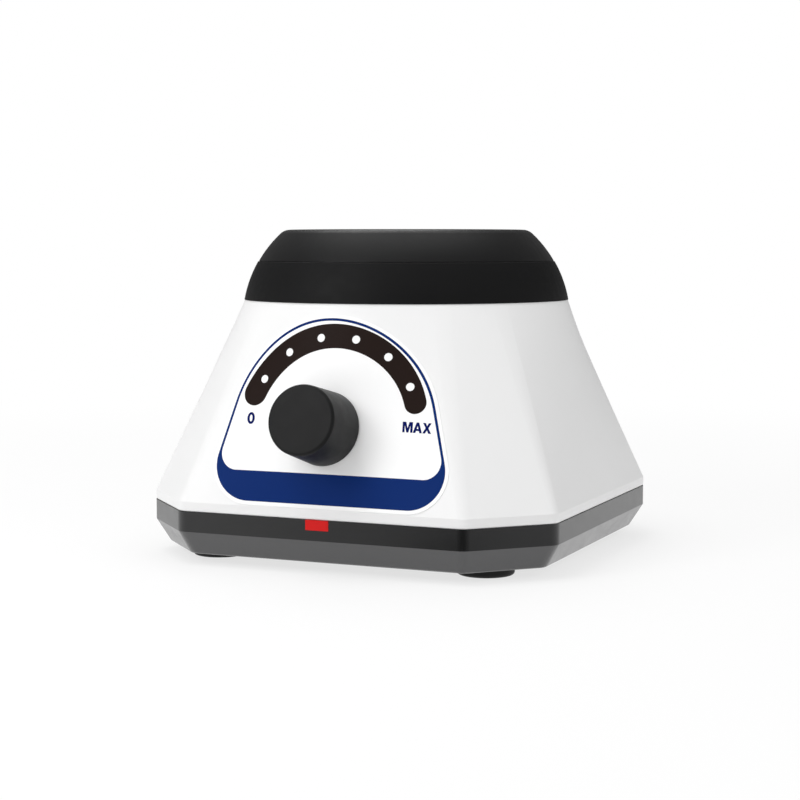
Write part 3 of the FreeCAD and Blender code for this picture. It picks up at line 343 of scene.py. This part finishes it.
def rubber_and_other_finishes():
    settings = {
        "head_rubber": {"colour": (0.0082, 0.0082, 0.0085), "roughness": 0.4, "tone": 0.12,
                        "grain": 0.3 * MM, "depth": 0.008 * MM, "Specular_IOR_Level": 0.36},
        "foot_rubber": {"colour": grey(0.008), "roughness": 0.6, "tone": 0.12, "depth": 0.012 * MM,
                        "Specular_IOR_Level": 0.3},
        "ballast_paint": {"colour": (0.08, 0.08, 0.085), "roughness": 0.4, "grain": 0.9 * MM,
                          "depth": 0.01 * MM},
        "magnet": {"colour": grey(0.06), "roughness": 0.6, "tone": 0.15, "grain": 0.2 * MM,
                   "depth": 0.01 * MM},
        "carbon": {"colour": grey(0.03), "roughness": 0.55, "tone": 0.15, "grain": 0.2 * MM},
    }
    return {name: finish(name, **setting) for name, setting in settings.items()}


def ink(name, colour):
    return finish(name, colour, 0.4, tone=0.03, patch=6 * MM, grain=0.5 * MM, depth=0.0008 * MM,
                  Specular_IOR_Level=0.04)


finishes = {
    **steel_finishes(),
    **plastic_finishes(),
    **rubber_and_other_finishes(),
    "dark_tray": tray_plastic(),
    "circuit_board": circuit_board(),
    "copper": wound("copper", (0.6, 0.28, 0.15), 0.3, wire=0.3 * MM),
}
for part in frame["record"]["subparts"]:
    frame["nodes"][part["node"]].material_slots[0].material = finishes[part["material_slot"]]


# Dial film and print


def share_across(x, rise):
    """Share of the front face's half width at which a place lies, found by a few Newton steps."""
    share = x / flat_half
    for _ in range(share_rounds):
        angle = share * rim_angle
        across = (1 - rise) * share * flat_half + rise * rim_radius * math.sin(angle)
        slope = (1 - rise) * flat_half + rise * rim_radius * rim_angle * math.cos(angle)
        share -= (across - x) / slope
    return share


def on_face(x, height, proud):
    """Point of the bent front face behind a place in the dial's plane, lifted off the face."""
    depth = 0.0
    for _ in range(face_rounds):
        point = dial + rightward * x + upward * height + outward * depth
        rise = (point.z - skirt_top) / (rim_level - skirt_top)
        angle = share_across(x, rise) * rim_angle
        face_y = -(1 - rise) * base_half - rise * rim_radius * math.cos(angle)
        depth += (point.y - face_y) / -outward.y
    return dial + rightward * x + upward * height + outward * (depth + proud)


def arc_points(centre, radius, first, last, steps):
    angles = [math.radians(first + (last - first) * step / steps) for step in range(steps + 1)]
    return [(centre[0] + radius * math.cos(angle), centre[1] + radius * math.sin(angle)) for angle in angles]


def circle(centre, radius, steps):
    return arc_points(centre, radius, 0.0, 360.0, steps)[:-1]


def arch(radius, bottom, corner):
    """Outline with a round top, straight sides and round lower corners, leaning a little to the left."""
    side = math.radians(film_side_angle)
    reach = (radius - corner - (bottom + corner) * math.sin(side)) / math.cos(side)
    level = bottom + corner
    top = arc_points((0.0, 0.0), radius, film_side_angle, 180.0 - film_side_angle, arch_steps)
    left = arc_points((-reach, level), corner, 180.0 - film_side_angle, 270.0, corner_steps)
    right = arc_points((reach, level), corner, -90.0, film_side_angle, corner_steps)
    return [(x + y * film_slant + film_shift, y - film_drop) for x, y in top + left + right]


def round_end(start, stop):
    """Half circle from one point to another, anticlockwise, without its last point."""
    middle = ((start[0] + stop[0]) / 2, (start[1] + stop[1]) / 2)
    radius = math.dist(start, stop) / 2
    turn = math.degrees(math.atan2(start[1] - middle[1], start[0] - middle[0]))
    return arc_points(middle, radius, turn, turn + 180.0, band_end_steps)[:-1]


def scale_band():
    """Curved band with round ends, over the top of the dial."""
    first, last = 90.0 - scale_right_angle, 90.0 + scale_left_angle
    outer = arc_points((scale_outer_shift, 0.0), scale_outer, first, last, band_steps)
    inner = arc_points((scale_inner_shift, 0.0), scale_inner, last, first, band_steps)
    return outer[:-1] + round_end(outer[-1], inner[0]) + inner[:-1] + round_end(inner[-1], outer[0])


# Each letter is a list of loops, in shares of the letter's height


def letter_m():
    return [[(0, 0), (0, 1), (0.33, 1), (0.49, 0.42), (0.65, 1), (0.98, 1), (0.98, 0), (0.76, 0),
             (0.76, 0.66), (0.585, 0), (0.395, 0), (0.22, 0.66), (0.22, 0)]]


def letter_a():
    outside = [(0, 0), (0.32, 1), (0.56, 1), (0.88, 0), (0.64, 0), (0.575, 0.2), (0.305, 0.2), (0.24, 0)]
    return [outside, [(0.36, 0.39), (0.44, 0.68), (0.52, 0.39)]]


def letter_x():
    return [[(0, 0), (0.29, 0.51), (0.02, 1), (0.28, 1), (0.42, 0.71), (0.56, 1), (0.82, 1),
             (0.55, 0.51), (0.84, 0), (0.58, 0), (0.42, 0.31), (0.26, 0)]]


def digit_zero():
    outer, inner = (0.37, 0.515), (0.135, 0.3)
    ring = circle((0.0, 0.0), 1.0, digit_steps)
    return [[(outer[0] + across * x, 0.5 + tall * y) for x, y in ring] for across, tall in (outer, inner)]


def word(letters, height, place):
    """Loops of letters set side by side, centred on a place."""
    widths = [max(x for x, y in loops[0]) for loops in letters]
    start = -(sum(widths) + letter_gap * (len(letters) - 1)) / 2
    placed = []
    for loops, width in zip(letters, widths):
        for loop in loops:
            flat = [((start + x) * height, (y - 0.5) * height) for x, y in loop]
            placed.append([(place[0] + x + y * film_slant, place[1] + y) for x, y in flat])
        start += width + letter_gap
    return placed


def flat_sheet(shapes):
    """Flat faces inside closed loops, cut into cells so that they can bend."""
    mesh = bmesh.new()
    for loops in shapes:
        edges = []
        for loop in loops:
            corners = [mesh.verts.new((x, y, 0.0)) for x, y in loop]
            edges += [mesh.edges.new((corners[index - 1], corners[index])) for index in range(len(corners))]
        bmesh.ops.triangle_fill(mesh, edges=edges, use_beauty=True, normal=(0.0, 0.0, 1.0))
    for axis in (0, 1):
        direction = Vector((1.0 - axis, float(axis), 0.0))
        spans = [corner.co[axis] for corner in mesh.verts]
        cuts = range(math.ceil(min(spans) / print_cell), math.floor(max(spans) / print_cell) + 1)
        for cut in cuts:
            everything = mesh.verts[:] + mesh.edges[:] + mesh.faces[:]
            place = direction * (cut * print_cell)
            bmesh.ops.bisect_plane(
                mesh, geom=everything, dist=cut_tolerance, plane_co=place, plane_no=direction
            )
    return mesh


def bent_sheet(name, shapes, low, high):
    """Thin sheet cut to closed loops, bent onto the front face between two heights above it."""
    mesh = flat_sheet(shapes)
    lower = bmesh.ops.extrude_face_region(mesh, geom=mesh.faces[:])["geom"]
    lower = {corner for corner in lower if isinstance(corner, bmesh.types.BMVert)}
    for corner in mesh.verts:
        corner.co = on_face(corner.co.x, corner.co.y, low if corner in lower else high)
    bmesh.ops.recalc_face_normals(mesh, faces=mesh.faces[:])
    data = bpy.data.meshes.new(name)
    mesh.to_mesh(data)
    mesh.free()
    data.shade_smooth()
    data.set_sharp_from_angle(angle=math.radians(crease_angle))
    piece = bpy.data.objects.new(name, data)
    bpy.context.scene.collection.objects.link(piece)
    return piece


def dial_piece(name, shapes, low, high, material):
    piece = bent_sheet(name, shapes, low, high)
    piece.data.materials.append(material)
    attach(piece, "case")
    return piece


def dial_print():
    film_outline = arch(film_radius, film_bottom, film_corner)
    film_hole = circle((0.0, 0.0), film_hole_radius, hole_steps)
    film = dial_piece("dial_film", [[film_outline, film_hole]], 0.0, film_thickness, finishes["label_film"])
    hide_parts("dial_label")
    ink_top = film_thickness + ink_thickness
    blue = ink("blue_ink", (0.0036, 0.0235, 0.138))
    navy = ink("navy_ink", (0.002, 0.007, 0.095))
    brown = ink("brown_ink", (0.0185, 0.0115, 0.0098))
    white = ink("white_ink", grey(0.9))
    border = arch(border_radius, border_bottom, border_corner)
    panel = arch(panel_radius, panel_bottom, panel_corner)
    dial_piece("border_print", [[border, panel]], film_thickness, ink_top, blue)
    dial_piece("scale_print", [[scale_band()]], film_thickness, ink_top, brown)
    angles = [math.radians(mark_first + mark_step * index) for index in range(mark_count)]
    places = [(mark_shift + mark_ring * math.sin(angle), mark_ring * math.cos(angle)) for angle in angles]
    marks = [[circle(place, mark_radius, mark_steps)] for place in places]
    dial_piece("scale_marks", marks, ink_top, ink_top + ink_thickness, white)
    zero = word([digit_zero()], zero_height, zero_place)
    most = word([letter_m(), letter_a(), letter_x()], most_height, most_place)
    dial_piece("scale_words", [zero, most], film_thickness, ink_top, navy)


dial_print()


# Studio


def math_node(tree, operation, first, second):
    node = tree.nodes.new("ShaderNodeMath")
    node.operation = operation
    for socket, value in zip(node.inputs, (first, second)):
        if isinstance(value, (int, float)):
            socket.default_value = value
        else:
            tree.links.new(value, socket)
    return node.outputs["Value"]


def vector_node(tree, operation, *vectors):
    node = tree.nodes.new("ShaderNodeVectorMath")
    node.operation = operation
    for socket, vector in zip(node.inputs, vectors):
        if isinstance(vector, Vector):
            socket.default_value = vector
        else:
            tree.links.new(vector, socket)
    return node.outputs["Value" if operation in ("DOT_PRODUCT", "LENGTH") else "Vector"]


def room_tone(tree, direction):
    """How light the room is along a direction: white all round, with a dark opening at the front right."""
    ramp = tree.nodes.new("ShaderNodeValToRGB")
    stops = ramp.color_ramp.elements
    while len(stops) < len(opening_tones):
        stops.new(0.5)
    for stop, (place, tone) in zip(stops, opening_tones):
        stop.position = place
        stop.color = (*grey(tone), 1.0)
    tree.links.new(vector_node(tree, "DOT_PRODUCT", direction, opening_direction), ramp.inputs["Fac"])
    return ramp.outputs["Color"]


def studio_world():
    """White to the camera. Reflections see the room, and the rest is an even light."""
    world = bpy.data.worlds.new("studio")
    bpy.context.scene.world = world
    world.use_nodes = True
    tree = world.node_tree
    rays = tree.nodes.new("ShaderNodeLightPath").outputs
    direction = tree.nodes.new("ShaderNodeTexCoord").outputs["Generated"]
    room = room_tone(tree, direction)
    overhead = vector_node(tree, "DOT_PRODUCT", direction, ceiling_direction)
    height_tone = ranged(tree, overhead, ceiling_edge, ceiling_middle, wall_tone, ceiling_tone)
    walls = math_node(tree, "MULTIPLY", room, height_tone)
    direct = math_node(tree, "MAXIMUM", rays["Is Camera Ray"], rays["Is Transmission Ray"])
    glossy = math_node(tree, "MULTIPLY", rays["Is Glossy Ray"], walls)
    seen = math_node(tree, "MAXIMUM", direct, rays["Is Glossy Ray"])
    even = math_node(tree, "MULTIPLY", math_node(tree, "SUBTRACT", 1.0, seen), ambient_light)
    strength = math_node(tree, "ADD", math_node(tree, "ADD", direct, glossy), even)
    background = tree.nodes["Background"]
    background.inputs["Color"].default_value = (1.0, 1.0, 1.0, 1.0)
    tree.links.new(strength, background.inputs["Strength"])


def floor_material():
    """Pale floor that keeps the shadow close to the object. Reflections see it as part of the room."""
    material, tree, shader = new_material("floor")
    shader.inputs["Base Color"].default_value = (*grey(floor_tone), 1.0)
    shader.inputs["Roughness"].default_value = 0.9
    shader.inputs["Specular IOR Level"].default_value = 0.1
    rays = tree.nodes.new("ShaderNodeLightPath").outputs
    place = tree.nodes.new("ShaderNodeTexCoord").outputs["Object"]
    distance = vector_node(tree, "LENGTH", place)
    white = ranged(tree, distance, shadow_near, shadow_far, 1.0 - shadow_share, 1.0)
    shown = math_node(tree, "MULTIPLY", rays["Is Camera Ray"], white)
    for ray in ("Is Glossy Ray", "Is Transmission Ray"):
        shown = math_node(tree, "MAXIMUM", shown, rays[ray])
    beyond = ranged(tree, distance, mirror_near, mirror_far, 0.0, 1.0)
    away = math_node(tree, "MULTIPLY", rays["Is Glossy Ray"], beyond)
    room = room_tone(tree, vector_node(tree, "NORMALIZE", place))
    darker = math_node(tree, "MULTIPLY", away, math_node(tree, "SUBTRACT", 1.0, room))
    glow = tree.nodes.new("ShaderNodeEmission")
    glow.inputs["Color"].default_value = (1.0, 1.0, 1.0, 1.0)
    tree.links.new(math_node(tree, "SUBTRACT", 1.0, darker), glow.inputs["Strength"])
    mix = tree.nodes.new("ShaderNodeMixShader")
    tree.links.new(shown, mix.inputs["Fac"])
    tree.links.new(shader.outputs["BSDF"], mix.inputs[1])
    tree.links.new(glow.outputs["Emission"], mix.inputs[2])
    tree.links.new(mix.outputs["Shader"], tree.nodes["Material Output"].inputs["Surface"])
    return material


def floor():
    data = bpy.data.meshes.new("floor")
    corners = [(x * floor_half, y * floor_half, floor_level) for x, y in ((-1, -1), (1, -1), (1, 1), (-1, 1))]
    data.from_pydata(corners, [], [(0, 1, 2, 3)])
    data.materials.append(floor_material())
    piece = bpy.data.objects.new("floor", data)
    bpy.context.scene.collection.objects.link(piece)


def softbox(name, place, target, size, power, mirrored=True):
    data = bpy.data.lights.new(name, "AREA")
    data.shape = "RECTANGLE"
    data.size, data.size_y = size
    data.energy = power
    lamp = bpy.data.objects.new(name, data)
    lamp.location = place
    lamp.visible_glossy = mirrored
    lamp.rotation_euler = (Vector(target) - Vector(place)).to_track_quat("-Z", "Y").to_euler()
    bpy.context.scene.collection.objects.link(lamp)


def lamps():
    softbox("key_light", (-0.26, -0.45, 0.32), case_middle, size=(0.23, 0.23), power=0.78)
    softbox("top_light", (-0.18, -0.25, 0.85), case_middle, size=(0.45, 0.45), power=2.8, mirrored=False)
    softbox("rear_light", (-0.28, 0.42, 0.72), head_middle, size=(0.4, 0.3), power=0.9)
    softbox("fill_light", (0.7, -0.15, 0.45), case_middle, size=(0.5, 0.5), power=0.8, mirrored=False)


def camera():
    azimuth, drop = math.radians(camera_azimuth), math.radians(camera_drop)
    level = math.cos(drop)
    view = Vector((-math.sin(azimuth) * level, math.cos(azimuth) * level, -math.sin(drop)))
    data = bpy.data.cameras.new("camera")
    data.lens = camera_lens
    data.sensor_width = camera_sensor
    viewer = bpy.data.objects.new("camera", data)
    viewer.location = camera_place
    viewer.rotation_euler = view.to_track_quat("-Z", "Y").to_euler()
    bpy.context.scene.collection.objects.link(viewer)
    bpy.context.scene.camera = viewer


studio_world()
floor()
lamps()
camera()
bpy.context.scene.view_settings.view_transform = "Standard"
